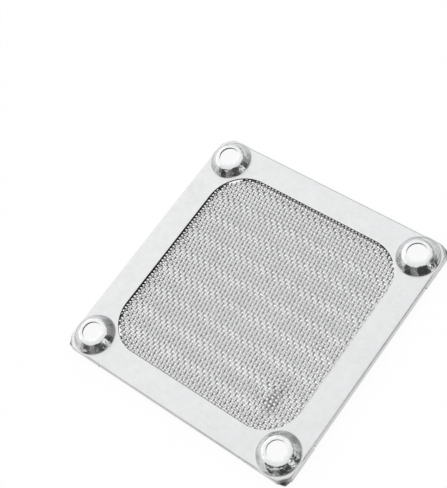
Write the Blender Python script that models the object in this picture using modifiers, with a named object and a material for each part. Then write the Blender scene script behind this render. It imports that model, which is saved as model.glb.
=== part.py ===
"""Fan dust filter: a folded aluminium frame with pressed screw bosses and a corrugated wire mesh.

The filter lies on its back flanges with the front face up. The origin is in the middle of its back.
Run with: blender --background --python part.py
"""
import math

import bmesh
import bpy
from mathutils import Matrix, Vector

MM = 0.001
OBJECT_NAME = "fan_dust_filter"

# Screw pattern and pressed bosses
HOLE_PITCH = 50.0 * MM
HOLE_RADIUS = 2.15 * MM
BOSS_LAND = 0.3 * MM
BOSS_SLOPE_WIDTH = 2.5 * MM
BOSS_HEIGHT = 2.1 * MM
BOSS_FOOT_RADIUS = 0.4 * MM
BOSS_SHOULDER_RADIUS = 1.3 * MM
BOSS_STEPS = 32
FOOT_STEPS = 2
SHOULDER_STEPS = 4

# Frame sheet, its hem and the back flanges
SHEET = 0.45 * MM
EDGE_MARGIN = 0.05 * MM
BAND_WIDTH = 6.2 * MM
CORNER_WEB = 0.3 * MM
MIN_WINDOW_RADIUS = 1.0 * MM
FLANGE_SETBACK = 1.75 * MM
FLANGE_END_GAP = 0.3 * MM
FLANGE_CLIP = 2.0 * MM
BEND_RADIUS = 0.6 * MM
RELIEF_WIDTH = 0.4 * MM
SKIRT_LIFT = 0.15 * MM
SKIRT_REACH = 5.75 * MM
EAR_BLUNTING = 0.8 * MM
EAR_FLAT = 0.2
EAR_DROP = 1.25 * MM
BEND_STEPS = 3
WINDOW_STEPS = 10

# Corrugated mesh, as one wall with ridges and gaps
MESH_WALL = 0.4 * MM
MESH_CLEARANCE = 0.25 * MM
MESH_EDGE_GAP = 0.45 * MM
BOSS_CLEARANCE = 0.4 * MM
WAVE_PITCH = 5.16 * MM
WAVE_HEADROOM = 0.15 * MM
WAVE_FADE = 1.6 * MM
WAVE_EDGE = 0.6 * MM
WAVE_STEPS = 8
GAP_STEPS = 4
GAP_WIDTH = 2.95 * MM
BAR_WIDTH = 0.9 * MM
COLUMN_MARGIN = 0.2 * MM
BUMP_X = 15.2 * MM
BUMP_Y = -16.3 * MM
BUMP_RADIUS = 4.2 * MM
BUMP_HEIGHT = 0.6 * MM
CUTTER_STEPS = 32
CUTTER_OVERRUN = 1.0 * MM

# Finish of the two pieces
FRAME_COLOR = (0.80, 0.81, 0.82, 1.0)
FRAME_ROUGHNESS = 0.34
MESH_COLOR = (0.62, 0.63, 0.64, 1.0)
MESH_ROUGHNESS = 0.30
METALLIC = 1.0

# Sizes that follow from the ones above
BOSS_BASE_RADIUS = HOLE_RADIUS + BOSS_LAND + BOSS_SLOPE_WIDTH
BOSS_CENTRE = HOLE_PITCH / 2
FRAME_HALF = BOSS_CENTRE + BOSS_BASE_RADIUS + EDGE_MARGIN
WINDOW_HALF = FRAME_HALF - BAND_WIDTH
RIM_HEIGHT = 2 * SHEET + MESH_WALL + 2 * MESH_CLEARANCE
MESH_LEVEL = RIM_HEIGHT / 2
WAVE_AMPLITUDE = RIM_HEIGHT / 2 - MESH_WALL / 2 - WAVE_HEADROOM
FLAT_HALF = FRAME_HALF - BEND_RADIUS
FLANGE_INNER = WINDOW_HALF + FLANGE_SETBACK
FLANGE_END = BOSS_CENTRE - BOSS_BASE_RADIUS - FLANGE_END_GAP
MESH_HALF = FRAME_HALF - SHEET - MESH_EDGE_GAP
QUARTER_TURN = math.pi / 2
WELD = 1e-7


def window_radius():
    """Corner radius that leaves the web between the window and a boss."""
    root = math.sqrt(2)
    reach = BOSS_BASE_RADIUS + CORNER_WEB
    radius = (reach - root * (BOSS_CENTRE - WINDOW_HALF)) / (root - 1)
    return max(radius, MIN_WINDOW_RADIUS)


def window_depth(x, y):
    """Distance of a point from the window's edge, positive inside the window."""
    radius = window_radius()
    over_x = abs(x) - (WINDOW_HALF - radius)
    over_y = abs(y) - (WINDOW_HALF - radius)
    beyond = math.hypot(max(over_x, 0.0), max(over_y, 0.0)) + min(max(over_x, over_y), 0.0)
    return radius - beyond


def clear_scene():
    """Remove every object, so that the file holds the filter alone."""
    for item in list(bpy.data.objects):
        bpy.data.objects.remove(item, do_unlink=True)


def make_collection(name):
    """Add a collection to the scene and return it."""
    collection = bpy.data.collections.new(name)
    bpy.context.scene.collection.children.link(collection)
    return collection


def make_material(name, color, roughness):
    """Bare metal with the given colour and roughness."""
    material = bpy.data.materials.new(name)
    material.use_nodes = True
    shader = material.node_tree.nodes["Principled BSDF"]
    shader.inputs["Base Color"].default_value = color
    shader.inputs["Roughness"].default_value = roughness
    shader.inputs["Metallic"].default_value = METALLIC
    material.diffuse_color = color
    return material


def make_object(bm, name, collection, material):
    """Turn a bmesh into a named object with its material."""
    mesh = bpy.data.meshes.new(name)
    bm.to_mesh(mesh)
    bm.free()
    mesh.materials.append(material)
    item = bpy.data.objects.new(name, mesh)
    collection.objects.link(item)
    return item


def add_solidify(item, thickness, offset):
    """Give an open surface the thickness of its sheet."""
    solid = item.modifiers.new("sheet", "SOLIDIFY")
    solid.thickness = thickness
    solid.offset = offset
    solid.use_even_offset = True
    solid.use_quality_normals = True
    return solid


def chain_edges(bm, chain):
    """Join each vertex of a chain to the next one, and return the edges."""
    return [bm.edges.get(pair) or bm.edges.new(pair) for pair in zip(chain, chain[1:])]


def extrude_chain(bm, chain, places):
    """Extrude a chain of vertices to new places, and return the new chain."""
    made = bmesh.ops.extrude_edge_only(bm, edges=chain_edges(bm, chain))
    fresh = {part.co.to_tuple(8): part for part in made["geom"] if isinstance(part, bmesh.types.BMVert)}
    moved = [fresh[vert.co.to_tuple(8)] for vert in chain]
    for vert, place in zip(moved, places):
        vert.co = place
    return moved


def boss_side_angle():
    """Slope angle of the straight side that touches both the foot and the shoulder arc."""
    run = BOSS_SLOPE_WIDTH
    rise = BOSS_FOOT_RADIUS + BOSS_SHOULDER_RADIUS - BOSS_HEIGHT
    lean = math.atan2(rise, run)
    ratio = (BOSS_FOOT_RADIUS + BOSS_SHOULDER_RADIUS) / math.hypot(run, rise)
    return math.asin(min(ratio, 1.0)) - lean


def boss_profile():
    """Radius and height of a boss, from its foot on the front face up to the screw hole."""
    slope = boss_side_angle()
    shoulder_centre = HOLE_RADIUS + BOSS_LAND
    points = []
    for step in range(FOOT_STEPS + 1):
        angle = slope * step / FOOT_STEPS
        radius = BOSS_BASE_RADIUS - BOSS_FOOT_RADIUS * math.sin(angle)
        points.append((radius, BOSS_FOOT_RADIUS * (1 - math.cos(angle))))
    for step in range(SHOULDER_STEPS + 1):
        angle = slope * (1 - step / SHOULDER_STEPS)
        radius = shoulder_centre + BOSS_SHOULDER_RADIUS * math.sin(angle)
        points.append((radius, BOSS_HEIGHT - BOSS_SHOULDER_RADIUS * (1 - math.cos(angle))))
    points.append((HOLE_RADIUS, BOSS_HEIGHT))
    return points


def spin_boss(bm):
    """Turn the boss profile about its screw axis, and return the foot ring by step."""
    centre = Vector((BOSS_CENTRE, BOSS_CENTRE, RIM_HEIGHT))
    profile = [bm.verts.new(centre + Vector((radius, 0, height))) for radius, height in boss_profile()]
    outline = profile + chain_edges(bm, profile)
    bmesh.ops.spin(bm, geom=outline, cent=centre, axis=(0, 0, 1), angle=2 * math.pi,
                   steps=BOSS_STEPS, use_merge=True)
    foot = {}
    for vert in bm.verts:
        arm = vert.co - centre
        if abs(arm.z) < WELD:
            step = round(math.atan2(arm.y, arm.x) / (2 * math.pi) * BOSS_STEPS)
            foot[step % BOSS_STEPS] = vert
    return foot


def edge_step():
    """Step of the foot ring at which the ring crosses the hem's bend line."""
    rise = (FLAT_HALF - BOSS_CENTRE) / BOSS_BASE_RADIUS
    angle = math.pi - math.asin(min(rise, 1.0))
    return round(angle / (2 * math.pi) * BOSS_STEPS)


def is_ear(place):
    """Whether a place lies on the corner's diagonal, where the skirt has its ear."""
    return abs(place.x - place.y) < WELD


def outline_point(vert):
    """Place on the outline, straight out from a foot ring's vertex."""
    arm_x = vert.co.x - BOSS_CENTRE
    arm_y = vert.co.y - BOSS_CENTRE
    margin = FRAME_HALF - BOSS_CENTRE
    wall = margin * BOSS_BASE_RADIUS / max(abs(arm_x), abs(arm_y))
    if is_ear(vert.co):
        reach = margin * math.sqrt(2) - EAR_BLUNTING
    else:
        reach = min(wall, SKIRT_REACH)
    scale = reach / BOSS_BASE_RADIUS
    return Vector((BOSS_CENTRE + arm_x * scale, BOSS_CENTRE + arm_y * scale, RIM_HEIGHT))


def bend_place(start, target, step):
    """Place on the way down a bend: a quarter round, but a flat and a straight slope at the ear."""
    if is_ear(start):
        share = (step - 1) / (BEND_STEPS - 1)
        out = EAR_FLAT + (1 - EAR_FLAT) * share
        drop = EAR_DROP * share
    else:
        angle = QUARTER_TURN * step / BEND_STEPS
        out = math.sin(angle)
        drop = max(BEND_RADIUS, (target - start).length) * (1 - math.cos(angle))
    return start.lerp(target, out) - Vector((0, 0, drop))


def bend_down(bm, chain, targets):
    """Bend a chain of vertices down to upright above its targets."""
    starts = [vert.co.copy() for vert in chain]
    for step in range(1, BEND_STEPS + 1):
        places = [bend_place(start, target, step) for start, target in zip(starts, targets)]
        chain = extrude_chain(bm, chain, places)
    return chain


def fold_flange(bm, chain, outward):
    """Take the hem down past the mesh, bend it in below and end it in a clipped flange."""
    for step in range(BEND_STEPS + 1):
        angle = QUARTER_TURN * step / BEND_STEPS
        inset = BEND_RADIUS * (1 - math.cos(angle))
        level = BEND_RADIUS * (1 - math.sin(angle))
        places = []
        for vert in chain:
            along = vert.co - outward * vert.co.dot(outward)
            places.append(along * Vector((1, 1, 0)) + outward * (FRAME_HALF - inset) + Vector((0, 0, level)))
        chain = extrude_chain(bm, chain, places)
    inner = []
    for vert in chain:
        along = vert.co - outward * vert.co.dot(outward)
        if along.length > WELD:
            along.length -= FLANGE_CLIP
        inner.append(along + outward * FLANGE_INNER)
    extrude_chain(bm, chain, inner)


def add_skirt(bm, foot, last):
    """Bend the sheet's edge down: hems along the sides, and a drawn skirt round the boss and its ear."""
    first = BOSS_STEPS // 4 - last
    arc = [foot[step % BOSS_STEPS] for step in range(last, first - 1, -1)]
    hem = [0, FLANGE_END]
    along = hem + [FLANGE_END + RELIEF_WIDTH]
    side_y = [bm.verts.new((place, FLAT_HALF, RIM_HEIGHT)) for place in along]
    side_x = [bm.verts.new((FLAT_HALF, place, RIM_HEIGHT)) for place in reversed(along)]
    targets = [Vector((place, FRAME_HALF, RIM_HEIGHT)) for place in along]
    targets += [outline_point(vert) for vert in arc]
    targets += [Vector((FRAME_HALF, place, RIM_HEIGHT)) for place in reversed(along)]
    ring = bend_down(bm, side_y + arc + side_x, targets)
    fold_flange(bm, ring[:len(hem)], Vector((0, 1, 0)))
    fold_flange(bm, ring[-len(hem):], Vector((1, 0, 0)))
    skirt = ring[len(hem):-len(hem)]
    extrude_chain(bm, skirt, [vert.co * Vector((1, 1, 0)) + Vector((0, 0, SKIRT_LIFT)) for vert in skirt])
    return side_y, side_x


def add_window_edge(bm):
    """A quarter of the window's edge, from the middle of one side to the middle of the next."""
    radius = window_radius()
    inner = WINDOW_HALF - radius
    points = [(WINDOW_HALF, 0)]
    for step in range(WINDOW_STEPS + 1):
        angle = QUARTER_TURN * step / WINDOW_STEPS
        points.append((inner + radius * math.cos(angle), inner + radius * math.sin(angle)))
    points.append((0, WINDOW_HALF))
    chain = [bm.verts.new((x, y, RIM_HEIGHT)) for x, y in points]
    chain_edges(bm, chain)
    return chain


def add_face_panel(bm, foot, last, side_y, side_x):
    """Flat front face of a quarter, between the window, the boss and the bend lines."""
    first = BOSS_STEPS // 4 - last + BOSS_STEPS
    inside = [foot[step % BOSS_STEPS] for step in range(last, first + 1)]
    border = side_y + inside + side_x + add_window_edge(bm)
    edges = chain_edges(bm, border + border[:1])
    panel = bmesh.ops.contextual_create(bm, geom=edges)["faces"]
    bmesh.ops.triangulate(bm, faces=panel)


def face_front_up(bm):
    """Turn every face of the open sheet to its visible side."""
    bmesh.ops.recalc_face_normals(bm, faces=bm.faces)
    flat = max(bm.faces, key=lambda face: abs(face.normal.z) * face.calc_center_median().z)
    if flat.normal.z < 0:
        bmesh.ops.reverse_faces(bm, faces=bm.faces)


def build_frame(collection):
    """The frame: a quarter of the sheet, turned round to all four corners and given its thickness."""
    bm = bmesh.new()
    foot = spin_boss(bm)
    last = edge_step()
    side_y, side_x = add_skirt(bm, foot, last)
    add_face_panel(bm, foot, last, side_y, side_x)
    quarter = bm.verts[:] + bm.edges[:] + bm.faces[:]
    bmesh.ops.spin(bm, geom=quarter, cent=(0, 0, 0), axis=(0, 0, 1), angle=3 * QUARTER_TURN,
                   steps=3, use_duplicate=True)
    bmesh.ops.remove_doubles(bm, verts=bm.verts, dist=WELD)
    face_front_up(bm)
    material = make_material("frame_aluminium", FRAME_COLOR, FRAME_ROUGHNESS)
    frame = make_object(bm, "frame", collection, material)
    add_solidify(frame, SHEET, -1.0)
    return frame


def column_lines():
    """X of the lines between bars and gaps, with the window's and the mesh's edges."""
    pitch = GAP_WIDTH + BAR_WIDTH
    count = int((2 * WINDOW_HALF - BAR_WIDTH - 2 * COLUMN_MARGIN) / pitch)
    start = -(count * pitch + BAR_WIDTH) / 2
    lines = [-MESH_HALF, -WINDOW_HALF]
    for column in range(count + 1):
        lines += [start + column * pitch, start + column * pitch + BAR_WIDTH]
    return lines + [WINDOW_HALF, MESH_HALF]


def row_lines():
    """Y of the lines along the waves, with the window's and the mesh's edges."""
    step = WAVE_PITCH / WAVE_STEPS
    count = int((WINDOW_HALF - step / 2) / step)
    inner = [row * step for row in range(-count, count + 1)]
    return [-MESH_HALF, -WINDOW_HALF] + inner + [WINDOW_HALF, MESH_HALF]


def smooth_ramp(value):
    """Smooth step from 0 to 1."""
    value = min(max(value, 0.0), 1.0)
    return value * value * (3 - 2 * value)


def wave_height(x, y):
    """Height of the corrugated mesh: ridges along X that fade at the window's edge, and one round bump."""
    fade = smooth_ramp((window_depth(x, y) - WAVE_EDGE) / WAVE_FADE)
    wave = WAVE_AMPLITUDE * math.cos(2 * math.pi * y / WAVE_PITCH)
    bump = BUMP_HEIGHT * smooth_ramp(1 - math.hypot(x - BUMP_X, y - BUMP_Y) / BUMP_RADIUS)
    return MESH_LEVEL + fade * (wave + bump)


def is_gap(face):
    """Whether a cell of the mesh is open: between two bars, in the trough of a wave."""
    centre = face.calc_center_median()
    width = max(vert.co.x for vert in face.verts) - min(vert.co.x for vert in face.verts)
    if abs(width - GAP_WIDTH) > WELD:
        return False
    waves = centre.y / WAVE_PITCH
    trough = math.floor(waves) + 0.5
    trough_end = (abs(trough) + GAP_STEPS / WAVE_STEPS / 2) * WAVE_PITCH
    side_end = abs(centre.x) + GAP_WIDTH / 2
    inside_window = window_depth(side_end, trough_end) > WAVE_EDGE
    return inside_window and abs(waves - trough) < GAP_STEPS / WAVE_STEPS / 2


def build_corner_cutters(collection):
    """Four cutters that clear the mesh's corners: each runs from round a boss out past the corner."""
    radius = BOSS_BASE_RADIUS + BOSS_CLEARANCE
    cutters = []
    for corner in range(4):
        bm = bmesh.new()
        bmesh.ops.create_cone(bm, cap_ends=True, segments=CUTTER_STEPS, radius1=radius, radius2=radius,
                              depth=RIM_HEIGHT + 2 * CUTTER_OVERRUN)
        outer = [vert for vert in bm.verts if vert.co.x + vert.co.y > WELD]
        bmesh.ops.translate(bm, verts=outer, vec=(radius, radius, 0))
        place = Matrix.Rotation(corner * QUARTER_TURN, 4, "Z")
        place = place @ Matrix.Translation((BOSS_CENTRE, BOSS_CENTRE, MESH_LEVEL))
        bmesh.ops.transform(bm, matrix=place, verts=bm.verts)
        material = bpy.data.materials["mesh_aluminium"]
        cutter = make_object(bm, f"corner_cutter_{corner + 1}", collection, material)
        cutter.hide_render = True
        cutter.display_type = "WIRE"
        cutters.append(cutter)
    return cutters


def build_mesh(collection, cutter_collection):
    """The wire mesh: a corrugated wall with rows of gaps, its edges flat between the frame's folds."""
    xs = column_lines()
    ys = row_lines()
    bm = bmesh.new()
    bmesh.ops.create_grid(bm, x_segments=len(xs) - 1, y_segments=len(ys) - 1, size=0.5)
    for vert in bm.verts:
        x = xs[round((vert.co.x + 0.5) * (len(xs) - 1))]
        y = ys[round((vert.co.y + 0.5) * (len(ys) - 1))]
        vert.co = (x, y, wave_height(x, y))
    bmesh.ops.delete(bm, geom=[face for face in bm.faces if is_gap(face)], context="FACES")
    bmesh.ops.recalc_face_normals(bm, faces=bm.faces)
    material = make_material("mesh_aluminium", MESH_COLOR, MESH_ROUGHNESS)
    mesh = make_object(bm, "wire_mesh", collection, material)
    add_solidify(mesh, MESH_WALL, 0.0)
    for cutter in build_corner_cutters(cutter_collection):
        cut = mesh.modifiers.new(cutter.name, "BOOLEAN")
        cut.operation = "DIFFERENCE"
        cut.solver = "EXACT"
        cut.object = cutter
    return mesh


def main():
    clear_scene()
    collection = make_collection(OBJECT_NAME)
    cutter_collection = make_collection(OBJECT_NAME + "_cutters")
    build_frame(collection)
    build_mesh(collection, cutter_collection)


main()
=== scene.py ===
"""Fan dust filter: the finished look of its pressed aluminium frame and its woven, corrugated wire mesh.

The sizes are in metres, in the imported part's own frame: the back flanges lie in the plane Z = 0, the front
face looks up, and the ridges of the mesh run along X.
"""

import math

import bmesh
import bpy
from mathutils import Matrix, Vector, noise


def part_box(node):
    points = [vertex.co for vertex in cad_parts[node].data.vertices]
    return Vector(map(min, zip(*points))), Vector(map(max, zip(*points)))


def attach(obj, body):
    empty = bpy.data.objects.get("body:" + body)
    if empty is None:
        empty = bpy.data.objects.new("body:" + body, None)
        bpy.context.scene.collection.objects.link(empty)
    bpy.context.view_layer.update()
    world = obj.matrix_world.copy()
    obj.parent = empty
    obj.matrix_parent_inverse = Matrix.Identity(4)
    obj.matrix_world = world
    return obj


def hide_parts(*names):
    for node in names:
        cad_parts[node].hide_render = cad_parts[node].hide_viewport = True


bl_info = {
    "name": "Fan Dust Filter",
    "version": (1, 0, 0),
    "blender": (4, 5, 0),
    "location": "View3D > Sidebar > Dust Filter",
    "description": "Builds a pressed aluminium fan filter frame with its corrugated wire mesh",
    "category": "Add Mesh",
}

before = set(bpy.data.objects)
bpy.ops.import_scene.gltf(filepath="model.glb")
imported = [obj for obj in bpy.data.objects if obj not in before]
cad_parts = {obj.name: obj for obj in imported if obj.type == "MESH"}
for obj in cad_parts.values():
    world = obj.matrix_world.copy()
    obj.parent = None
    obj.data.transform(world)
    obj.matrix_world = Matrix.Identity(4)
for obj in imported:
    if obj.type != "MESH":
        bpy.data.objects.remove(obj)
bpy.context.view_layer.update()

MM = 0.001
FRAME_LOW, FRAME_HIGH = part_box("frame")
FRAME_HALF = (FRAME_HIGH.x - FRAME_LOW.x) / 2
FRAME_TOP = FRAME_HIGH.z
QUARTER_TURN = math.pi / 2
WELD = 1e-7


def length(name, description, default):
    """A size in metres that shows as a distance in the sidebar."""
    return bpy.props.FloatProperty(
        name=name, description=description, default=default,
        min=0.0, precision=5, subtype="DISTANCE", unit="LENGTH",
    )


def count(name, description, default):
    """A whole number of steps or sides."""
    return bpy.props.IntProperty(name=name, description=description, default=default, min=1)


def tint(name, description, default):
    """A linear colour."""
    return bpy.props.FloatVectorProperty(
        name=name, description=description, default=default,
        size=3, min=0.0, max=1.0, subtype="COLOR",
    )


def share(name, description, default):
    """A plain factor."""
    return bpy.props.FloatProperty(
        name=name, description=description, default=default, min=0.0, precision=3, subtype="FACTOR",
    )


class DustFilterFrameSizes(bpy.types.PropertyGroup):
    """Sizes of the pressed sheet frame."""

    rim_height: length("Rim Height", "Height of the hemmed edge, from the back to the front face", 1.8 * MM)
    sheet: length("Sheet", "Thickness of the aluminium sheet", 0.45 * MM)
    band: length("Band", "Width of the band from the outer edge to the window", 6.2 * MM)
    bend: length("Bend Radius", "Outer radius of the two bends of the hem", 0.5 * MM)
    mesh_drop: length("Mesh Drop", "How far the mesh lies below the middle of the rim", 0.16 * MM)
    web: length("Corner Web", "Land between a boss and the window's corner", 0.3 * MM)
    hole_radius: length("Hole Radius", "Radius of a screw hole", 2.15 * MM)
    boss_land: length("Boss Land", "Width of the flat land round a screw hole", 0.3 * MM)
    boss_slope: length("Boss Slope Width", "Width of a boss outside its land", 2.5 * MM)
    foot_radius: length("Foot Radius", "Hollow radius at the foot of a boss", 0.4 * MM)
    shoulder_radius: length("Shoulder Radius", "Round radius at the shoulder of a boss", 1.3 * MM)
    edge_margin: length("Edge Margin", "From the foot of a boss to the frame's outline", 0.05 * MM)
    flange_setback: length("Flange Setback", "From the window's edge to a back flange's edge", 1.75 * MM)
    flange_end_gap: length("Flange End Gap", "From the foot of a boss to the end of the hem", 0.3 * MM)
    flange_clip: length("Flange Clip", "Length clipped off a flange's inner corner", 2.0 * MM)
    skirt_lift: length("Skirt Lift", "Height of the drawn corner's lower edge", 0.15 * MM)
    relief: length("Relief Width", "Width of the slot between a hem and the drawn corner", 0.4 * MM)
    skirt_reach: length("Skirt Reach", "How far a drawn corner runs out from the screw axis", 5.75 * MM)
    ear_blunting: length("Ear Blunting", "How far the ear's tip stays short of the square corner", 0.8 * MM)
    ear_flat: share("Ear Flat", "Share of the ear's width that stays flat beside the boss", 0.2)
    ear_drop: length("Ear Drop", "How far the ear slopes down to its tip", 1.25 * MM)
    edge_round: length("Edge Rounding", "Rounding of the sheet's cut edges", 0.05 * MM)
    boss_steps: count("Boss Steps", "Steps round a boss", 96)
    foot_steps: count("Foot Steps", "Steps on the hollow foot", 6)
    shoulder_steps: count("Shoulder Steps", "Steps on the shoulder", 12)
    bend_steps: count("Bend Steps", "Steps on a quarter of the hem's bend", 8)
    window_steps: count("Window Steps", "Steps on a corner of the window", 36)


class DustFilterMeshSizes(bpy.types.PropertyGroup):
    """Sizes of the woven wire mesh."""

    wire: length("Wire Thickness", "Thickness of the rolled woven wire", 0.26 * MM)
    wire_width: length("Wire Width", "Width of the rolled woven wire", 0.46 * MM)
    warp_pitch: length("Warp Pitch", "Spacing of the wires that cross the ridges", 0.864 * MM)
    weft_pitch: length("Weft Pitch", "Spacing of the wires that run along the ridges", 0.787 * MM)
    warp_share: share("Warp Crimp", "How far the wires across the ridges bend, in half thicknesses", 0.8)
    wave_pitch: length("Wave Pitch", "Spacing of the ridges", 5.16 * MM)
    wave_height: length("Wave Height", "Half the height of the ridges", 0.4 * MM)
    wave_skew: share("Wave Skew", "How much steeper one side of a ridge is", 0.04)
    wave_edge: length("Wave Edge", "Flat margin inside the window's edge", 0.1 * MM)
    wave_fade: length("Wave Fade", "Distance over which the ridges rise", 1.3 * MM)
    edge_gap: length("Edge Gap", "From the mesh's edge to the inside of the hem", 0.45 * MM)
    boss_clearance: length("Boss Clearance", "From the foot of a boss to the mesh's cut corner", 0.4 * MM)
    bump_x: length("Bump X", "Place of the bump in the mesh along X", 15.2 * MM)
    bump_y: length("Bump Y", "Distance of the bump from the middle, towards the near edge", 16.3 * MM)
    bump_radius: length("Bump Radius", "Radius of the bump in the mesh", 3.2 * MM)
    bump_height: length("Bump Height", "Height of the bump in the mesh", 1.0 * MM)
    wander: length("Wander", "How far a wire strays sideways", 0.1 * MM)
    wander_span: length("Wander Span", "Length over which a wire strays", 5.0 * MM)
    sides: count("Wire Sides", "Sides of a wire", 8)


class DustFilterColours(bpy.types.PropertyGroup):
    """Colours of the metal, the floor and the surroundings."""

    sheet: tint("Sheet", "Rolled aluminium sheet", (0.705, 0.708, 0.712))
    # The burnish colour is lighter than the sheet: partly burnished metal, partly a painted highlight on the
    # boss tops.
    burnish_and_highlight: tint("Burnish", "Sheet burnished by the press on the bosses", (0.77, 0.774, 0.78))
    # The cut edge's very dark colour is painted shade.
    edge: tint("Cut Edge", "Sheared edge of the sheet", (0.07, 0.07, 0.072))
    wire: tint("Wire", "Drawn aluminium wire", (0.88, 0.883, 0.887))
    floor: tint("Floor", "Plain white floor", (0.95, 0.95, 0.95))
    sky: tint("Sky", "Bright surroundings", (0.99, 0.995, 1.0))
    dark_side: tint("Dark Side", "Dark low part of the surroundings, to the right", (0.06, 0.06, 0.062))


class Layout:
    """Sizes that follow from the sidebar's sizes."""

    def __init__(self, sizes):
        self.sizes = sizes
        self.boss_foot = sizes.hole_radius + sizes.boss_land + sizes.boss_slope
        self.boss_centre = FRAME_HALF - sizes.edge_margin - self.boss_foot
        self.boss_height = FRAME_TOP - sizes.rim_height
        self.level = sizes.rim_height / 2 - sizes.mesh_drop
        self.flat_half = FRAME_HALF - sizes.bend
        self.window_half = FRAME_HALF - sizes.band
        self.flange_inner = self.window_half + sizes.flange_setback
        self.flange_end = self.boss_centre - self.boss_foot - sizes.flange_end_gap
        reach = self.boss_foot + sizes.web
        root = math.sqrt(2)
        self.window_radius = (reach - root * (self.boss_centre - self.window_half)) / (root - 1)

    def window_depth(self, x, y):
        """Distance of a point from the window's edge, positive inside the window."""
        over_x = abs(x) - (self.window_half - self.window_radius)
        over_y = abs(y) - (self.window_half - self.window_radius)
        beyond = math.hypot(max(over_x, 0.0), max(over_y, 0.0)) + min(max(over_x, over_y), 0.0)
        return self.window_radius - beyond

    def boss_profile(self):
        """Radius and height of a boss, from its foot up to the screw hole."""
        sizes = self.sizes
        rise = sizes.foot_radius + sizes.shoulder_radius - self.boss_height
        lean = math.atan2(rise, sizes.boss_slope)
        ratio = (sizes.foot_radius + sizes.shoulder_radius) / math.hypot(sizes.boss_slope, rise)
        slope = math.asin(min(ratio, 1.0)) - lean
        points = []
        for step in range(sizes.foot_steps + 1):
            angle = slope * step / sizes.foot_steps
            radius = self.boss_foot - sizes.foot_radius * math.sin(angle)
            points.append((radius, sizes.foot_radius * (1 - math.cos(angle))))
        for step in range(sizes.shoulder_steps + 1):
            angle = slope * (1 - step / sizes.shoulder_steps)
            radius = sizes.hole_radius + sizes.boss_land + sizes.shoulder_radius * math.sin(angle)
            points.append((radius, self.boss_height - sizes.shoulder_radius * (1 - math.cos(angle))))
        points.append((sizes.hole_radius, self.boss_height))
        return points


def smooth_ramp(value):
    """Smooth step from 0 to 1."""
    value = min(max(value, 0.0), 1.0)
    return value * value * (3 - 2 * value)


def finish_piece(mesh, name, node, material):
    """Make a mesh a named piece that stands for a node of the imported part."""
    for face in mesh.polygons:
        face.use_smooth = True
    piece = bpy.data.objects.new(name, mesh)
    bpy.context.scene.collection.objects.link(piece)
    piece.data.materials.append(material)
    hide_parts(node)
    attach(piece, "root")
    return piece


# Node helpers

FLATTENED = (1.0, 1.0, 0.0)


class Nodes:
    """A node tree, with short calls to add and link its nodes."""

    def __init__(self, tree):
        self.tree = tree

    def feed(self, value, socket):
        """Link an output to an input, or set a plain number, vector or colour on it."""
        if isinstance(value, bpy.types.NodeSocket):
            self.tree.links.new(value, socket)
        else:
            socket.default_value = value

    def ramp(self, value, low, high, to_low, to_high, smooth=False):
        """A value taken from one range to another, held at its ends."""
        node = self.tree.nodes.new("ShaderNodeMapRange")
        node.interpolation_type = "SMOOTHSTEP" if smooth else "LINEAR"
        node.inputs["From Min"].default_value = low
        node.inputs["From Max"].default_value = high
        node.inputs["To Min"].default_value = to_low
        node.inputs["To Max"].default_value = to_high
        self.feed(value, node.inputs["Value"])
        return node.outputs["Result"]

    def math(self, operation, first, second):
        """Two values put together."""
        node = self.tree.nodes.new("ShaderNodeMath")
        node.operation = operation
        self.feed(first, node.inputs[0])
        self.feed(second, node.inputs[1])
        return node.outputs["Value"]

    def product(self, first, *others):
        """Values multiplied one after another."""
        for other in others:
            first = self.math("MULTIPLY", first, other)
        return first

    def measure(self, vector, *steps):
        """A vector taken through steps of vector mathematics; they give a vector or a number."""
        for operation, value in steps:
            node = self.tree.nodes.new("ShaderNodeVectorMath")
            node.operation = operation
            self.feed(vector, node.inputs[0])
            if value:
                self.feed(value, node.inputs[1])
            vector = node.outputs.get("Vector") or node.outputs["Value"]
        return vector

    def blend(self, kind, factor, first, second, how="MIX"):
        """Two numbers or two colours blended by a factor."""
        node = self.tree.nodes.new("ShaderNodeMix")
        node.data_type = kind
        node.blend_type = how
        node.clamp_result = False
        self.feed(factor, node.inputs["Factor"])
        self.feed(first, node.inputs["A"])
        self.feed(second, node.inputs["B"])
        return node.outputs["Result"]


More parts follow.
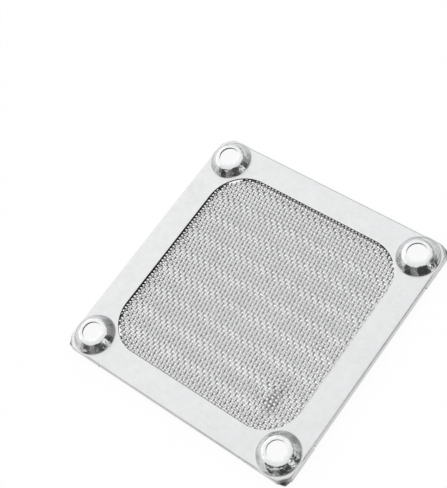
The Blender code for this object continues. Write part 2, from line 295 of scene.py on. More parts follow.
class Shader(Nodes):
    """The node tree of a new material."""

    def __init__(self, name, metallic=0.0):
        self.material = bpy.data.materials.new(name)
        self.material.use_nodes = True
        super().__init__(self.material.node_tree)
        self.surface = self.tree.nodes["Principled BSDF"]
        self.surface.inputs["Metallic"].default_value = metallic
        self.place = self.tree.nodes.new("ShaderNodeTexCoord").outputs["Object"]

    def set(self, name, value):
        """Feed a value to an input of the surface."""
        self.feed(value, self.surface.inputs[name])

    def mapped(self, scale):
        """Object coordinates, stretched by a scale along each axis."""
        node = self.tree.nodes.new("ShaderNodeMapping")
        node.inputs["Scale"].default_value = scale
        self.feed(self.place, node.inputs["Vector"])
        return node.outputs["Vector"]

    def noise(self, scale, detail, roughness):
        """Noise stretched by a scale along each axis."""
        node = self.tree.nodes.new("ShaderNodeTexNoise")
        node.inputs["Scale"].default_value = 1.0
        node.inputs["Detail"].default_value = detail
        node.inputs["Roughness"].default_value = roughness
        self.feed(self.mapped(scale), node.inputs["Vector"])
        return node.outputs["Fac"]

    def attribute(self, name):
        """Value that the piece carries along its surface under a name."""
        node = self.tree.nodes.new("ShaderNodeAttribute")
        node.attribute_name = name
        return node.outputs["Fac"]

    def rising(self, base, band, to_low, to_high, smooth=False):
        """A value that goes from one to another between two heights, both given from a base height."""
        node = self.tree.nodes.new("ShaderNodeSeparateXYZ")
        self.feed(self.place, node.inputs["Vector"])
        low, high = band
        return self.ramp(node.outputs["Z"], base + low, base + high, to_low, to_high, smooth)

    def beyond_square(self, reach):
        """How far the shaded point lies outside a square about the middle, seen from above."""
        seen_from_above = self.mapped(FLATTENED)
        outside = ("SUBTRACT", (reach, reach, 0.0))
        return self.measure(seen_from_above, ("ABSOLUTE", None), outside, ("MAXIMUM", None), ("LENGTH", None))

    def towards_corner(self):
        """How far the shaded point lies towards a corner, as its two distances from the middle lines added."""
        return self.measure(self.mapped(FLATTENED), ("ABSOLUTE", None), ("DOT_PRODUCT", FLATTENED))

    def shade_of(self, colour, value):
        """A colour made darker by a value."""
        return self.blend("RGBA", 1.0, (*colour, 1.0), value, "MULTIPLY")

    def bump(self, value, distance, strength, normal=None):
        """Bump from a value; an earlier bump can be carried on."""
        node = self.tree.nodes.new("ShaderNodeBump")
        node.inputs["Distance"].default_value = distance
        node.inputs["Strength"].default_value = strength
        self.feed(value, node.inputs["Height"])
        if normal:
            self.feed(normal, node.inputs["Normal"])
        return node.outputs["Normal"]


# Finish of the metal

# Noises: scale along each axis, detail and roughness
GRAIN = ((60.0, 2400.0, 2400.0), 4.0, 0.65)
MOTTLE = ((260.0, 260.0, 260.0), 3.0, 0.5)
SWELL = ((70.0, 70.0, 70.0), 1.0, 0.5)
SPECKLE = ((900.0, 900.0, 900.0), 2.0, 0.5)
DENTS = ((620.0, 620.0, 620.0), 2.0, 0.5)
SHEAR_LINES = ((2600.0, 2600.0, 300.0), 2.0, 0.6)
WIRE_PATCHES = ((420.0, 420.0, 420.0), 3.0, 0.5)
WARP_LINES = ((9000.0, 500.0, 9000.0), 3.0, 0.6)
WEFT_LINES = ((500.0, 9000.0, 9000.0), 3.0, 0.6)

# Sheet: heights above the rim, and distances towards a corner
PRESSED_HEIGHTS = (0.05 * MM, 0.5 * MM)
# Heights over which the lighter boss-top colour, partly a painted highlight, takes over.
BOSS_TOP_HEIGHTS = (0.8 * MM, 2.0 * MM)
FOLDED_HEIGHTS = (-0.55 * MM, -0.15 * MM)
FOLDED_REACH = (57.4 * MM, 58.3 * MM)

# Sheet and its cut edge: the range of a noise, then the range that it gives
SATIN_ROUGHNESS = (0.3, 0.7, 0.27, 0.36)
GRAIN_ROUGHNESS = (0.3, 0.7, -0.04, 0.05)
BURNISHED_ROUGHNESS = (0.3, 0.7, 0.14, 0.22)
MOTTLE_TONE = (0.25, 0.75, 0.93, 1.0)
GRAIN_TONE = (0.2, 0.8, 0.96, 1.0)
SPECKLE_TONE = (0.3, 0.7, 0.95, 1.0)
# Painted shade on the lower part of the ears, in specks
EAR_SHADE_SHARE = (0.3, 0.6, 0.65, 0.97)
# Painted shade in the hollows of the dents on the bosses
HOLLOW_SHADE = (0.35, 0.65, 0.76, 1.0)
SPOT_TONE = (0.35, 0.65, 0.86, 1.0)
SHEAR_TONE = (0.3, 0.7, 0.75, 1.0)
SHEAR_ROUGHNESS = (0.3, 0.7, 0.45, 0.6)

# Bumps: distance and strength
SWELL_BUMP = (0.15 * MM, 0.25)
HAMMERED_BUMP = (0.32 * MM, 0.7)
GRAIN_BUMP = (0.001 * MM, 0.3)
LINE_BUMP = (0.01 * MM, 0.3)
NOISE_MIDDLE = 0.5

# Wire: its own attribute, its ranges as above, and the places where shade is painted on it
CREST = "crest"
CREST_START = 0.58
# Painted shade on the sides of a wire, darkest on the warp wires
WARP_FLANK_SHADE = 0.04
WEFT_FLANK_SHADE = 0.45
PATCH_TONE = (0.3, 0.7, 0.86, 1.0)
LINE_TONE = (0.25, 0.75, 0.93, 1.0)
WIRE_ROUGHNESS = (0.3, 0.7, 0.14, 0.24)
# Painted shade on the mesh under and beside the sheet's edge, where the sheet shades it
COVERED_FROM = 0.45 * MM
COVERED_TO = 0.05 * MM
COVERED_SHADE = 0.2
# Painted shade on the wire below the tops of the ridges
VALLEY_HEIGHTS = (0.1 * MM, 0.25 * MM)
VALLEY_SHADE = 0.95
SHADE_OFFSET = 0.7
SHADE_SQUEEZE = (1.0, 0.3, 1.0)
SHADE_CORE = 0.1
SHADE_REACH = 0.65
SHADE_TONE = 0.62


def sheet_metal(colour, burnish_and_highlight, rim_height):
    """Rolled aluminium sheet: fine grain along X, mottling, dented bosses with painted shade in the dent
    hollows, boss tops in a lighter colour that is partly burnished metal and partly painted highlight, and
    painted shade on the lower part of the ears.
    """
    shader = Shader("rolled_aluminium_sheet", 1.0)
    grain = shader.noise(*GRAIN)
    mottle = shader.noise(*MOTTLE)
    swell = shader.noise(*SWELL)
    speckle = shader.noise(*SPECKLE)
    dents = shader.noise(*DENTS)
    pressed = shader.rising(rim_height, PRESSED_HEIGHTS, 0.0, 1.0, True)
    boss_top = shader.rising(rim_height, BOSS_TOP_HEIGHTS, 0.0, 1.0, True)
    satin = shader.ramp(mottle, *SATIN_ROUGHNESS)
    streaked = shader.math("ADD", satin, shader.ramp(grain, *GRAIN_ROUGHNESS))
    burnished = shader.ramp(mottle, *BURNISHED_ROUGHNESS)
    shader.set("Roughness", shader.blend("FLOAT", pressed, streaked, burnished))
    # Painted shade: the ears darken towards their lower edge, in specks.
    outside = shader.ramp(shader.towards_corner(), *FOLDED_REACH, 0.0, 1.0)
    lowered = shader.rising(rim_height, FOLDED_HEIGHTS, 1.0, 0.0)
    ear_shade = shader.product(outside, lowered, shader.ramp(speckle, *EAR_SHADE_SHARE))
    # The tone holds random mottle, grain and speckle, and the painted shade of the ears.
    tone = shader.product(
        shader.ramp(mottle, *MOTTLE_TONE),
        shader.ramp(grain, *GRAIN_TONE),
        shader.ramp(speckle, *SPECKLE_TONE),
        shader.math("SUBTRACT", 1.0, ear_shade),
    )
    # Lower part of a boss: the sheet's tone with painted shade in the dent hollows and random spots.
    tone_and_hollow_shade = shader.product(tone, shader.ramp(dents, *HOLLOW_SHADE), shader.ramp(speckle, *SPOT_TONE))
    # Upper part of a boss: the lighter colour, partly burnished metal and partly painted highlight.
    boss = shader.blend("RGBA", boss_top, shader.shade_of(colour, tone_and_hollow_shade), shader.shade_of(burnish_and_highlight, tone))
    shader.set("Base Color", shader.blend("RGBA", pressed, shader.shade_of(colour, tone), boss))
    waves = shader.bump(swell, *SWELL_BUMP)
    hammered = shader.product(shader.math("SUBTRACT", dents, NOISE_MIDDLE), pressed)
    pressed_dents = shader.bump(hammered, *HAMMERED_BUMP, waves)
    shader.set("Normal", shader.bump(grain, *GRAIN_BUMP, pressed_dents))
    return shader.material


def sheared_edge(colour):
    """Cut edge of the sheet: dull, with lines left by the shear, and a very dark colour that is painted shade.
    """
    shader = Shader("sheared_edge", 1.0)
    lines = shader.noise(*SHEAR_LINES)
    shader.set("Base Color", shader.shade_of(colour, shader.ramp(lines, *SHEAR_TONE)))
    shader.set("Roughness", shader.ramp(lines, *SHEAR_ROUGHNESS))
    return shader.material


def drawn_wire(name, colour, lines_along, flank_shade, sizes, layout):
    """Aluminium wire: painted shade on its sides, under and beside the sheet's edge, below the ridge tops and
    beside the bump, so that its crests stay bright.
    """
    shader = Shader(name, 1.0)
    lines = shader.noise(*lines_along)
    patches = shader.noise(*WIRE_PATCHES)
    inner = layout.window_half - layout.window_radius
    covered_from = layout.window_radius - COVERED_FROM
    covered_to = layout.window_radius - COVERED_TO
    ridge = layout.level + sizes.wave_height
    flank = (sizes.bump_x + SHADE_OFFSET * sizes.bump_radius, -sizes.bump_y, 0.0)
    squeezed = ("MULTIPLY", SHADE_SQUEEZE)
    away = shader.measure(shader.mapped(FLATTENED), ("SUBTRACT", flank), squeezed, ("LENGTH", None))
    core = SHADE_CORE * sizes.bump_radius
    reach = SHADE_REACH * sizes.bump_radius
    tone = shader.product(
        shader.ramp(patches, *PATCH_TONE),
        shader.ramp(lines, *LINE_TONE),
        # Painted shade on the sides of the wire, read from its crest attribute.
        shader.ramp(shader.attribute(CREST), CREST_START, 1.0, flank_shade, 1.0, True),
        # Painted shade under and beside the sheet's edge.
        shader.ramp(shader.beyond_square(inner), covered_from, covered_to, 1.0, COVERED_SHADE),
        # Painted shade below the ridge tops.
        shader.rising(ridge, VALLEY_HEIGHTS, VALLEY_SHADE, 1.0, True),
        shader.ramp(away, core, reach, SHADE_TONE, 1.0, True),
    )
    shader.set("Base Color", shader.shade_of(colour, tone))
    shader.set("Roughness", shader.ramp(patches, *WIRE_ROUGHNESS))
    shader.set("Normal", shader.bump(lines, *LINE_BUMP))
    return shader.material


# Pressed frame

KEY_DIGITS = 8
EAR_SPREAD = math.radians(11.25)
BEVEL_ANGLE = math.radians(50)
BEVEL_SEGMENTS = 2


def chain_edges(bm, chain):
    """Join each vertex of a chain to the next one, and return the edges."""
    return [bm.edges.get(pair) or bm.edges.new(pair) for pair in zip(chain, chain[1:])]


def extrude_chain(bm, chain, places):
    """Extrude a chain of vertices to new places, and return the new chain."""
    made = bmesh.ops.extrude_edge_only(bm, edges=chain_edges(bm, chain))
    fresh = [part for part in made["geom"] if isinstance(part, bmesh.types.BMVert)]
    by_place = {vert.co.to_tuple(KEY_DIGITS): vert for vert in fresh}
    moved = [by_place[vert.co.to_tuple(KEY_DIGITS)] for vert in chain]
    for vert, place in zip(moved, places):
        vert.co = place
    return moved


def spin_boss(bm, layout):
    """Turn the boss profile about its screw axis, and return its foot ring by step."""
    steps = layout.sizes.boss_steps
    centre = Vector((layout.boss_centre, layout.boss_centre, layout.sizes.rim_height))
    places = [Vector((radius, 0, height)) for radius, height in layout.boss_profile()]
    profile = [bm.verts.new(centre + place) for place in places]
    bmesh.ops.spin(
        bm, geom=profile + chain_edges(bm, profile), cent=centre, axis=(0, 0, 1), dvec=(0, 0, 0),
        angle=2 * math.pi, steps=steps, use_merge=True,
    )
    foot = {}
    for vert in bm.verts:
        arm = vert.co - centre
        if abs(arm.z) < WELD:
            foot[round(math.atan2(arm.y, arm.x) / (2 * math.pi) * steps) % steps] = vert
    return foot


def last_skirt_step(layout):
    """Step of the foot ring at which the ring crosses the hem's bend line."""
    rise = (layout.flat_half - layout.boss_centre) / layout.boss_foot
    angle = math.pi - math.asin(min(rise, 1.0))
    return round(angle / (2 * math.pi) * layout.sizes.boss_steps)


def ear_share(place, layout):
    """How far a place belongs to the ear: 1 on the corner's diagonal, 0 away from it."""
    turn = math.atan2(place.y - layout.boss_centre, place.x - layout.boss_centre)
    return max(1 - abs(turn - QUARTER_TURN / 2) / EAR_SPREAD, 0.0)


def outline_point(vert, layout):
    """Place on the outline, straight out from a foot ring's vertex; the middle ones run out to the ear."""
    arm_x = vert.co.x - layout.boss_centre
    arm_y = vert.co.y - layout.boss_centre
    margin = FRAME_HALF - layout.boss_centre
    wall = margin * layout.boss_foot / max(abs(arm_x), abs(arm_y))
    plain = min(wall, layout.sizes.skirt_reach)
    ear = margin * math.sqrt(2) - layout.sizes.ear_blunting
    scale = (plain + (ear - plain) * ear_share(vert.co, layout)) / layout.boss_foot
    x = layout.boss_centre + arm_x * scale
    y = layout.boss_centre + arm_y * scale
    return Vector((x, y, layout.sizes.rim_height))


def bend_place(start, target, turn, layout):
    """Place at a turn of a bend: a quarter round, and towards the ear a flat and a straight slope."""
    sizes = layout.sizes
    ear = ear_share(start, layout)
    down = max(turn - sizes.ear_flat, 0.0) / (1 - sizes.ear_flat)
    angle = QUARTER_TURN * turn
    out = math.sin(angle)
    drop = max(sizes.bend, (target - start).length) * (1 - math.cos(angle))
    out += (turn - out) * ear
    drop += (sizes.ear_drop * down - drop) * ear
    return start.lerp(target, out) - Vector((0, 0, drop))


def bend_down(bm, chain, targets, layout):
    """Bend a chain of vertices down to upright above its targets."""
    starts = [vert.co.copy() for vert in chain]
    steps = layout.sizes.bend_steps
    for step in range(1, steps + 1):
        places = [bend_place(start, target, step / steps, layout) for start, target in zip(starts, targets)]
        chain = extrude_chain(bm, chain, places)
    return chain


def fold_flange(bm, chain, outward, layout):
    """Take the hem down past the mesh, bend it in below and end it in a clipped flange."""
    steps = layout.sizes.bend_steps
    for step in range(steps + 1):
        angle = QUARTER_TURN * step / steps
        inset = layout.sizes.bend * (1 - math.cos(angle))
        level = layout.sizes.bend * (1 - math.sin(angle))
        places = []
        for vert in chain:
            along = vert.co - outward * vert.co.dot(outward)
            places.append(Vector((along.x, along.y, level)) + outward * (FRAME_HALF - inset))
        chain = extrude_chain(bm, chain, places)
    inner = []
    for vert in chain:
        along = vert.co - outward * vert.co.dot(outward)
        if along.length > WELD:
            along.length -= layout.sizes.flange_clip
        inner.append(along + outward * layout.flange_inner)
    extrude_chain(bm, chain, inner)


def add_skirt(bm, foot, last, layout):
    """Bend the sheet's edge down: hems along the sides, and a drawn skirt round the boss and its ear."""
    steps = layout.sizes.boss_steps
    height = layout.sizes.rim_height
    arc = [foot[step % steps] for step in range(last, steps // 4 - last - 1, -1)]
    along = [0, layout.flange_end, layout.flange_end + layout.sizes.relief]
    side_y = [bm.verts.new((place, layout.flat_half, height)) for place in along]
    side_x = [bm.verts.new((layout.flat_half, place, height)) for place in reversed(along)]
    targets = [Vector((place, FRAME_HALF, height)) for place in along]
    targets += [outline_point(vert, layout) for vert in arc]
    targets += [Vector((FRAME_HALF, place, height)) for place in reversed(along)]
    ring = bend_down(bm, side_y + arc + side_x, targets, layout)
    fold_flange(bm, ring[:2], Vector((0, 1, 0)), layout)
    fold_flange(bm, ring[-2:], Vector((1, 0, 0)), layout)
    skirt = ring[2:-2]
    extrude_chain(bm, skirt, [Vector((vert.co.x, vert.co.y, layout.sizes.skirt_lift)) for vert in skirt])
    return side_y, side_x


def add_window_edge(bm, layout):
    """A quarter of the window's edge, from the middle of one side to the middle of the next."""
    inner = layout.window_half - layout.window_radius
    steps = layout.sizes.window_steps
    radius = layout.window_radius
    points = [(layout.window_half, 0)]
    for step in range(steps + 1):
        angle = QUARTER_TURN * step / steps
        points.append((inner + radius * math.cos(angle), inner + radius * math.sin(angle)))
    points.append((0, layout.window_half))
    return [bm.verts.new((x, y, layout.sizes.rim_height)) for x, y in points]


def add_face_panel(bm, foot, last, side_y, side_x, layout):
    """Flat front face of a quarter, between the window, the boss and the bend lines."""
    steps = layout.sizes.boss_steps
    inside = [foot[step % steps] for step in range(last, steps // 4 - last + steps + 1)]
    border = side_y + inside + side_x + add_window_edge(bm, layout)
    edges = chain_edges(bm, border + border[:1])
    bmesh.ops.contextual_create(bm, geom=edges)


def pressed_sheet(layout):
    """The open sheet of the whole frame: one quarter, turned round to all four corners."""
    bm = bmesh.new()
    foot = spin_boss(bm, layout)
    last = last_skirt_step(layout)
    side_y, side_x = add_skirt(bm, foot, last, layout)
    add_face_panel(bm, foot, last, side_y, side_x, layout)
    quarter = bm.verts[:] + bm.edges[:] + bm.faces[:]
    bmesh.ops.spin(
        bm, geom=quarter, cent=(0, 0, 0), axis=(0, 0, 1), dvec=(0, 0, 0),
        angle=3 * QUARTER_TURN, steps=3, use_duplicate=True,
    )
    bmesh.ops.remove_doubles(bm, verts=bm.verts, dist=WELD)
    bmesh.ops.recalc_face_normals(bm, faces=bm.faces)
    flat = max(bm.faces, key=lambda face: face.calc_area())
    if flat.normal.z < 0:
        bmesh.ops.reverse_faces(bm, faces=bm.faces)
    mesh = bpy.data.meshes.new("pressed_frame")
    bm.to_mesh(mesh)
    bm.free()
    return mesh


class DUSTFILTER_OT_frame(bpy.types.Operator):
    """Build the frame: one sheet with its window, four pressed bosses, hems, flanges and drawn corners"""

    bl_idname = "dust_filter.frame"
    bl_label = "Pressed Frame"

    def execute(self, context):
        sizes = context.scene.dust_filter_frame
        layout = Layout(sizes)
        colours = context.scene.dust_filter_colours
        material = sheet_metal(colours.sheet, colours.burnish_and_highlight, sizes.rim_height)
        piece = finish_piece(pressed_sheet(layout), "pressed_frame", "frame", material)
        solid = piece.modifiers.new("sheet", "SOLIDIFY")
        solid.thickness = sizes.sheet
        solid.offset = -1.0
        solid.use_even_offset = True
        solid.use_quality_normals = True
        piece.data.materials.append(sheared_edge(colours.edge))
        solid.material_offset_rim = 1
        edge = piece.modifiers.new("cut edges", "BEVEL")
        edge.width = sizes.edge_round
        edge.segments = BEVEL_SEGMENTS
        edge.limit_method = "ANGLE"
        edge.angle_limit = BEVEL_ANGLE
        normals = piece.modifiers.new("flat faces stay flat", "WEIGHTED_NORMAL")
        normals.keep_sharp = True
        return {"FINISHED"}


# Woven mesh

WARP_SEED = 3.1
WEFT_SEED = 7.7
STRAY_STEP = 0.37
SLOPE_PARTS = 100
# Painted light: less painted shade on the wires' sides where the mesh falls towards the rear
FAR_SLOPE_LIGHT = 0.5


class Weave:
    """Shape of the corrugated, woven mesh."""

    def __init__(self, sizes, layout):
        self.sizes = sizes
        self.layout = layout
        self.half = FRAME_HALF - layout.sizes.sheet - sizes.edge_gap
        self.radius = sizes.wire / 2
        self.half_width = sizes.wire_width / 2
        self.warp_crimp = self.radius * sizes.warp_share
        self.weft_crimp = self.radius * 2 - self.warp_crimp

    def surface(self, x, y):
        """Height of the middle of the mesh: ridges along X that fade at the window's edge, and one bump."""
        sizes = self.sizes
        fade = smooth_ramp((self.layout.window_depth(x, y) - sizes.wave_edge) / sizes.wave_fade)
        phase = 2 * math.pi * y / sizes.wave_pitch
        wave = math.cos(phase) + sizes.wave_skew * math.sin(2 * phase)
        away = math.hypot(x - sizes.bump_x, y + sizes.bump_y) / sizes.bump_radius
        bump = sizes.bump_height * smooth_ramp(1 - away)
        return self.layout.level + fade * (sizes.wave_height * wave + bump)

    def falling(self, x, y):
        """Slope of the mesh where it falls towards the rear, and 0 where it rises."""
        step = self.sizes.wave_pitch / SLOPE_PARTS
        return max(0.0, (self.surface(x, y - step) - self.surface(x, y + step)) / (2 * step))

    def reach(self, offset):
        """How far a wire runs to each side before the edge or the cut corner of the mesh."""
        radius = self.layout.boss_foot + self.sizes.boss_clearance
        aside = self.layout.boss_centre - abs(offset)
        if abs(aside) >= radius:
            return self.half
        return self.layout.boss_centre - math.sqrt(radius * radius - aside * aside)

    def stray(self, number, along, seed):
        """Sideways shift of a wire at a place along it."""
        spot = Vector((number * STRAY_STEP + seed, along / self.sizes.wander_span, seed))
        return self.sizes.wander * noise.noise(spot)


def wire_tube(stations, radius, half_width, sides):
    """A straight closed flattened tube along Y with a ring at each station."""
    bm = bmesh.new()
    turn = Matrix.Rotation(QUARTER_TURN, 4, "X")
    start = Matrix.Translation((0, stations[0], 0)) @ turn
    bmesh.ops.create_circle(bm, cap_ends=True, segments=sides, radius=radius, matrix=start)
    edges = bm.edges[:]
    for before, after in zip(stations, stations[1:]):
        made = bmesh.ops.extrude_edge_only(bm, edges=edges)["geom"]
        ring = [part for part in made if isinstance(part, bmesh.types.BMVert)]
        fresh = [part for part in made if isinstance(part, bmesh.types.BMEdge)]
        edges = [edge for edge in fresh if set(edge.verts) <= set(ring)]
        bmesh.ops.translate(bm, verts=ring, vec=(0, after - before, 0))
    bmesh.ops.contextual_create(bm, geom=edges)
    bmesh.ops.recalc_face_normals(bm, faces=bm.faces)
    # Crest attribute: 1 on top and underneath, 0 at the sides, where the material paints shade.
    crest = bm.verts.layers.float.new(CREST)
    for vert in bm.verts:
        vert[crest] = abs(vert.co.z) / radius
    bmesh.ops.scale(bm, verts=bm.verts, vec=(half_width / radius, 1, 1))
    mesh = bpy.data.meshes.new("wire_template")
    bm.to_mesh(mesh)
    bm.free()
    return mesh


def wire_stations(reach, pitch):
    """Ring places along a wire: one on each side of every crossing."""
    rings = int(reach / (pitch / 2) - 0.5)
    return [(ring + 0.5) * pitch / 2 for ring in range(-rings - 1, rings + 1)]


def bend_wire(wire, weave, across, number, own_pitch, other_pitch, seed):
    """Bend a straight tube into its place in the weave; across wires run along X."""
    offset = number * own_pitch
    crimp = weave.weft_crimp if across else weave.warp_crimp
    quarter = other_pitch / 4
    centres = {}
    for vert in wire.verts:
        along = vert.co.y
        key = round(along / quarter)
        if key not in centres:
            crossing = round(along / other_pitch)
            over = 1 if (crossing + number + across) % 2 == 0 else -1
            aside = offset + weave.stray(number, along, seed)
            x, y = (along, aside) if across else (aside, along)
            height = weave.surface(x, y) + over * crimp
            centres[key] = (aside, height, FAR_SLOPE_LIGHT * weave.falling(x, y))
    keys = sorted(centres)
    span = other_pitch / 2
    crest = wire.verts.layers.float[CREST]
    for vert in wire.verts:
        along = vert.co.y
        key = round(along / quarter)
        spot = keys.index(key)
        before = centres[keys[max(spot - 1, 0)]][1]
        after = centres[keys[min(spot + 1, len(keys) - 1)]][1]
        steep = math.sqrt(1 + ((after - before) / (2 * span)) ** 2)
        aside, height, slope_light = centres[key]
        # Painted light: the side shade is lifted where the mesh falls towards the rear.
        vert[crest] = min(1.0, vert[crest] + slope_light)
        side = vert.co.x
        lift = vert.co.z * steep
        vert.co = (along, aside + side, height + lift) if across else (aside + side, along, height + lift)


def weave_wires(name, weave, across, seed):
    """All the wires of one direction as one mesh."""
    sizes = weave.sizes
    own_pitch, other_pitch = sizes.warp_pitch, sizes.weft_pitch
    if across:
        own_pitch, other_pitch = other_pitch, own_pitch
    templates = {}
    whole = bmesh.new()
    last = int((weave.half - weave.half_width) / own_pitch)
    for number in range(-last, last + 1):
        stations = wire_stations(weave.reach(number * own_pitch), other_pitch)
        if len(stations) not in templates:
            templates[len(stations)] = wire_tube(stations, weave.radius, weave.half_width, sizes.sides)
        wire = bmesh.new()
        wire.from_mesh(templates[len(stations)])
        bend_wire(wire, weave, across, number, own_pitch, other_pitch, seed)
        bent = bpy.data.meshes.new("bent_wire")
        wire.to_mesh(bent)
        wire.free()
        whole.from_mesh(bent)
        bpy.data.meshes.remove(bent)
    if across:
        bmesh.ops.reverse_faces(whole, faces=whole.faces)
    mesh = bpy.data.meshes.new(name)
    whole.to_mesh(mesh)
    whole.free()
    for template in templates.values():
        bpy.data.meshes.remove(template)
    return mesh


class DUSTFILTER_OT_mesh(bpy.types.Operator):
    """Weave the mesh: wires across the ridges and wires along them, over and under each other"""

    bl_idname = "dust_filter.mesh"
    bl_label = "Woven Mesh"

    def execute(self, context):
        sizes = context.scene.dust_filter_mesh
        layout = Layout(context.scene.dust_filter_frame)
        weave = Weave(sizes, layout)
        colour = context.scene.dust_filter_colours.wire
        warp = drawn_wire("drawn_wire_warp", colour, WARP_LINES, WARP_FLANK_SHADE, sizes, layout)
        weft = drawn_wire("drawn_wire_weft", colour, WEFT_LINES, WEFT_FLANK_SHADE, sizes, layout)
        warp_mesh = weave_wires("warp_wires", weave, 0, WARP_SEED)
        finish_piece(warp_mesh, "warp_wires", "wire_mesh", warp)
        weft_mesh = weave_wires("weft_wires", weave, 1, WEFT_SEED)
        finish_piece(weft_mesh, "weft_wires", "wire_mesh", weft)
        return {"FINISHED"}


# Stage

FLOOR_SIZE = 3.0
FLOOR_DROP = 0.01 * MM
FLOOR_ROUGHNESS = 0.9
FLOOR_GLOW = 0.92
MIRRORED_GLOW = 0.85
CAMERA_PLACE = Vector((111.47, -60.99, 221.87)) * MM
CAMERA_RIGHT = Vector((0.76898, 0.58701, -0.25317))
CAMERA_UP = Vector((-0.42894, 0.76743, 0.47651))
CAMERA_BACK = Vector((0.47401, -0.25783, 0.84193))
CAMERA_LENS = 89.38
CLIP_START = 5 * MM
SKY_LEVEL = 1.12

# Tones and patches of the surroundings, in degrees

# A sector has its compass angle, then the half widths within which it is full and beyond which it is gone
# Above and below have the two elevations between which a patch comes or goes
PANEL_LIGHT = 1.32
PANEL = {"sector": (145, 30, 60), "above": (46, 56), "below": (62, 76)}
HAZE_TONE = 0.68
HAZE = {"below": (3, 15)}
LEFT_TONE = 1.0
LEFT_WALL = {"sector": (-160, 28, 48), "below": (38, 54)}
LEFT_LIGHT = 1.7
LEFT_PANEL = {"sector": (180, 25, 50), "above": (18, 28), "below": (38, 50)}
BACK_TONE = 0.45
BACK_WALL = {"sector": (75, 30, 55), "below": (20, 35)}
RIGHT_DARK = {"sector": (-10, 37, 57), "below": (20, 56)}
NEAR_DARK = {"sector": (-70, 45, 60), "below": (15, 40)}
NEAR_GAP = {"sector": (-75, 7, 17), "below": (10, 24)}
WINDOW_LIGHT = 1.5
RIGHT_WINDOW = {"sector": (3, 5, 12), "above": (5, 9), "below": (24, 34)}


def grey(level):
    """A neutral tone."""
    return (level, level, level)


def floor_material(colour):
    """White floor that keeps the object's shadow and shows white to the camera and in metal."""
    shader = Shader("white_floor")
    shader.set("Base Color", (*colour, 1.0))
    shader.set("Roughness", FLOOR_ROUGHNESS)
    glow = shader.tree.nodes.new("ShaderNodeEmission")
    path = shader.tree.nodes.new("ShaderNodeLightPath").outputs
    mix = shader.tree.nodes.new("ShaderNodeMixShader")
    mirrored = shader.math("MAXIMUM", path["Is Glossy Ray"], path["Is Transmission Ray"])
    seen = shader.product(path["Is Camera Ray"], FLOOR_GLOW)
    shader.feed(shader.math("MAXIMUM", seen, shader.product(mirrored, MIRRORED_GLOW)), mix.inputs[0])
    shader.feed(shader.surface.outputs[0], mix.inputs[1])
    shader.feed(glow.outputs[0], mix.inputs[2])
    shader.feed(mix.outputs[0], shader.tree.nodes["Material Output"].inputs["Surface"])
    return shader.material


def add_floor(colour):
    """Large plain floor under the filter."""
    bm = bmesh.new()
    place = Matrix.Translation((0, 0, -FLOOR_DROP))
    bmesh.ops.create_grid(bm, x_segments=1, y_segments=1, size=FLOOR_SIZE / 2, matrix=place)
    mesh = bpy.data.meshes.new("floor")
    bm.to_mesh(mesh)
    bm.free()
    floor = bpy.data.objects.new("floor", mesh)
    floor.data.materials.append(floor_material(colour))
    bpy.context.scene.collection.objects.link(floor)


class Surroundings(Nodes):
    """World shader: one plain tone with soft patches of other tones laid over it."""

    def __init__(self, world, colour):
        world.use_nodes = True
        super().__init__(world.node_tree)
        self.direction = self.tree.nodes.new("ShaderNodeTexCoord").outputs["Generated"]
        split = self.tree.nodes.new("ShaderNodeSeparateXYZ")
        self.feed(self.direction, split.inputs[0])
        self.up = split.outputs["Z"]
        plain = self.tree.nodes.new("ShaderNodeRGB")
        plain.outputs[0].default_value = (*[channel * SKY_LEVEL for channel in colour], 1.0)
        self.colour = plain.outputs[0]

    def in_sector(self, compass, full, gone):
        """Soft sector round a compass angle, full within one half width and gone beyond the other."""
        angle = math.radians(compass)
        towards = ("DOT_PRODUCT", (math.cos(angle), math.sin(angle), 0.0))
        heading = self.measure(self.direction, ("MULTIPLY", FLATTENED), ("NORMALIZE", None), towards)
        outer = math.cos(math.radians(gone))
        inner = math.cos(math.radians(full))
        return self.ramp(heading, outer, inner, 0.0, 1.0, True)

    def between(self, low, high, to_low, to_high):
        """A value that goes from one to another between two elevations."""
        low = math.sin(math.radians(low))
        high = math.sin(math.radians(high))
        return self.ramp(self.up, low, high, to_low, to_high, True)

    def lay(self, tone, sector=None, above=None, below=None):
        """Lay a tone over a part of the surroundings; a limit that isn't given is left open."""
        parts = []
        if sector:
            parts.append(self.in_sector(*sector))
        if above:
            parts.append(self.between(*above, 0.0, 1.0))
        if below:
            parts.append(self.between(*below, 1.0, 0.0))
        self.colour = self.blend("RGBA", self.product(*parts), self.colour, (*tone, 1.0))


def add_surroundings(colours):
    """Bright surroundings with light panels, a small window, haze low down, and dark parts on two sides."""
    world = bpy.data.worlds.new("surroundings")
    bpy.context.scene.world = world
    room = Surroundings(world, colours.sky)
    room.lay(grey(PANEL_LIGHT), **PANEL)
    room.lay(grey(HAZE_TONE), **HAZE)
    room.lay(grey(LEFT_TONE), **LEFT_WALL)
    room.lay(grey(LEFT_LIGHT), **LEFT_PANEL)
    room.lay(grey(BACK_TONE), **BACK_WALL)
    room.lay(colours.dark_side, **RIGHT_DARK)
    room.lay(colours.dark_side, **NEAR_DARK)
    room.lay(grey(BACK_TONE), **NEAR_GAP)
    room.lay(grey(WINDOW_LIGHT), **RIGHT_WINDOW)
    room.feed(room.colour, room.tree.nodes["Background"].inputs["Color"])


def add_camera():
    """Camera at the photograph's place, turned as it was."""
    camera = bpy.data.cameras.new("camera")
    camera.lens = CAMERA_LENS
    camera.clip_start = CLIP_START
    holder = bpy.data.objects.new("camera", camera)
    turn = Matrix((CAMERA_RIGHT, CAMERA_UP, CAMERA_BACK)).transposed().to_4x4()
    rim_height = bpy.context.scene.dust_filter_frame.rim_height
    holder.matrix_world = Matrix.Translation(CAMERA_PLACE + Vector((0, 0, rim_height))) @ turn
    bpy.context.scene.collection.objects.link(holder)
    bpy.context.scene.camera = holder


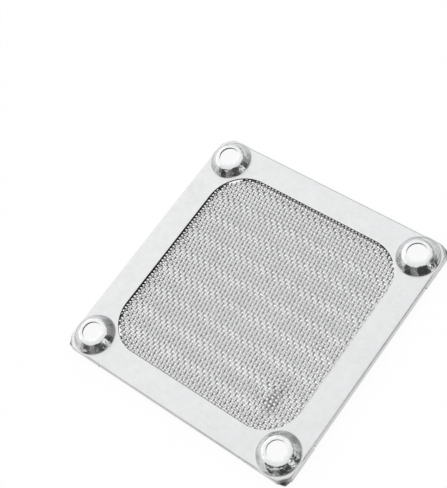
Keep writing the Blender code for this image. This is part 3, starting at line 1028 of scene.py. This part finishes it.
class DUSTFILTER_OT_stage(bpy.types.Operator):
    """Add the floor, the surroundings and the camera"""

    bl_idname = "dust_filter.stage"
    bl_label = "Stage"

    def execute(self, context):
        colours = context.scene.dust_filter_colours
        add_floor(colours.floor)
        add_surroundings(colours)
        add_camera()
        context.scene.view_settings.view_transform = "Standard"
        return {"FINISHED"}


class DUSTFILTER_PT_panel(bpy.types.Panel):
    """Sidebar panel that lists the filter's pieces"""

    bl_idname = "DUSTFILTER_PT_panel"
    bl_label = "Fan Dust Filter"
    bl_space_type = "VIEW_3D"
    bl_region_type = "UI"
    bl_category = "Dust Filter"

    def draw(self, context):
        column = self.layout.column()
        for operator in OPERATORS:
            column.operator(operator.bl_idname)
        for group in (context.scene.dust_filter_frame, context.scene.dust_filter_mesh):
            for name in group.__annotations__:
                column.prop(group, name)
        for name in context.scene.dust_filter_colours.__annotations__:
            column.prop(context.scene.dust_filter_colours, name)


OPERATORS = (DUSTFILTER_OT_frame, DUSTFILTER_OT_mesh, DUSTFILTER_OT_stage)
GROUPS = (DustFilterFrameSizes, DustFilterMeshSizes, DustFilterColours)
CLASSES = GROUPS + OPERATORS + (DUSTFILTER_PT_panel,)


def register():
    """Register the classes and give the scene its groups of sizes and colours."""
    for item in CLASSES:
        bpy.utils.register_class(item)
    bpy.types.Scene.dust_filter_frame = bpy.props.PointerProperty(type=DustFilterFrameSizes)
    bpy.types.Scene.dust_filter_mesh = bpy.props.PointerProperty(type=DustFilterMeshSizes)
    bpy.types.Scene.dust_filter_colours = bpy.props.PointerProperty(type=DustFilterColours)


def unregister():
    """Take the groups and the classes away again."""
    del bpy.types.Scene.dust_filter_frame
    del bpy.types.Scene.dust_filter_mesh
    del bpy.types.Scene.dust_filter_colours
    for item in reversed(CLASSES):
        bpy.utils.unregister_class(item)


def plain(box):
    """A box as plain lists of numbers."""
    return [[float(number) for number in corner] for corner in box]


def main():
    """Build the filter and its stage."""
    register()
    bpy.ops.dust_filter.frame()
    bpy.ops.dust_filter.mesh()
    bpy.ops.dust_filter.stage()


if __name__ == "__main__":
    main()
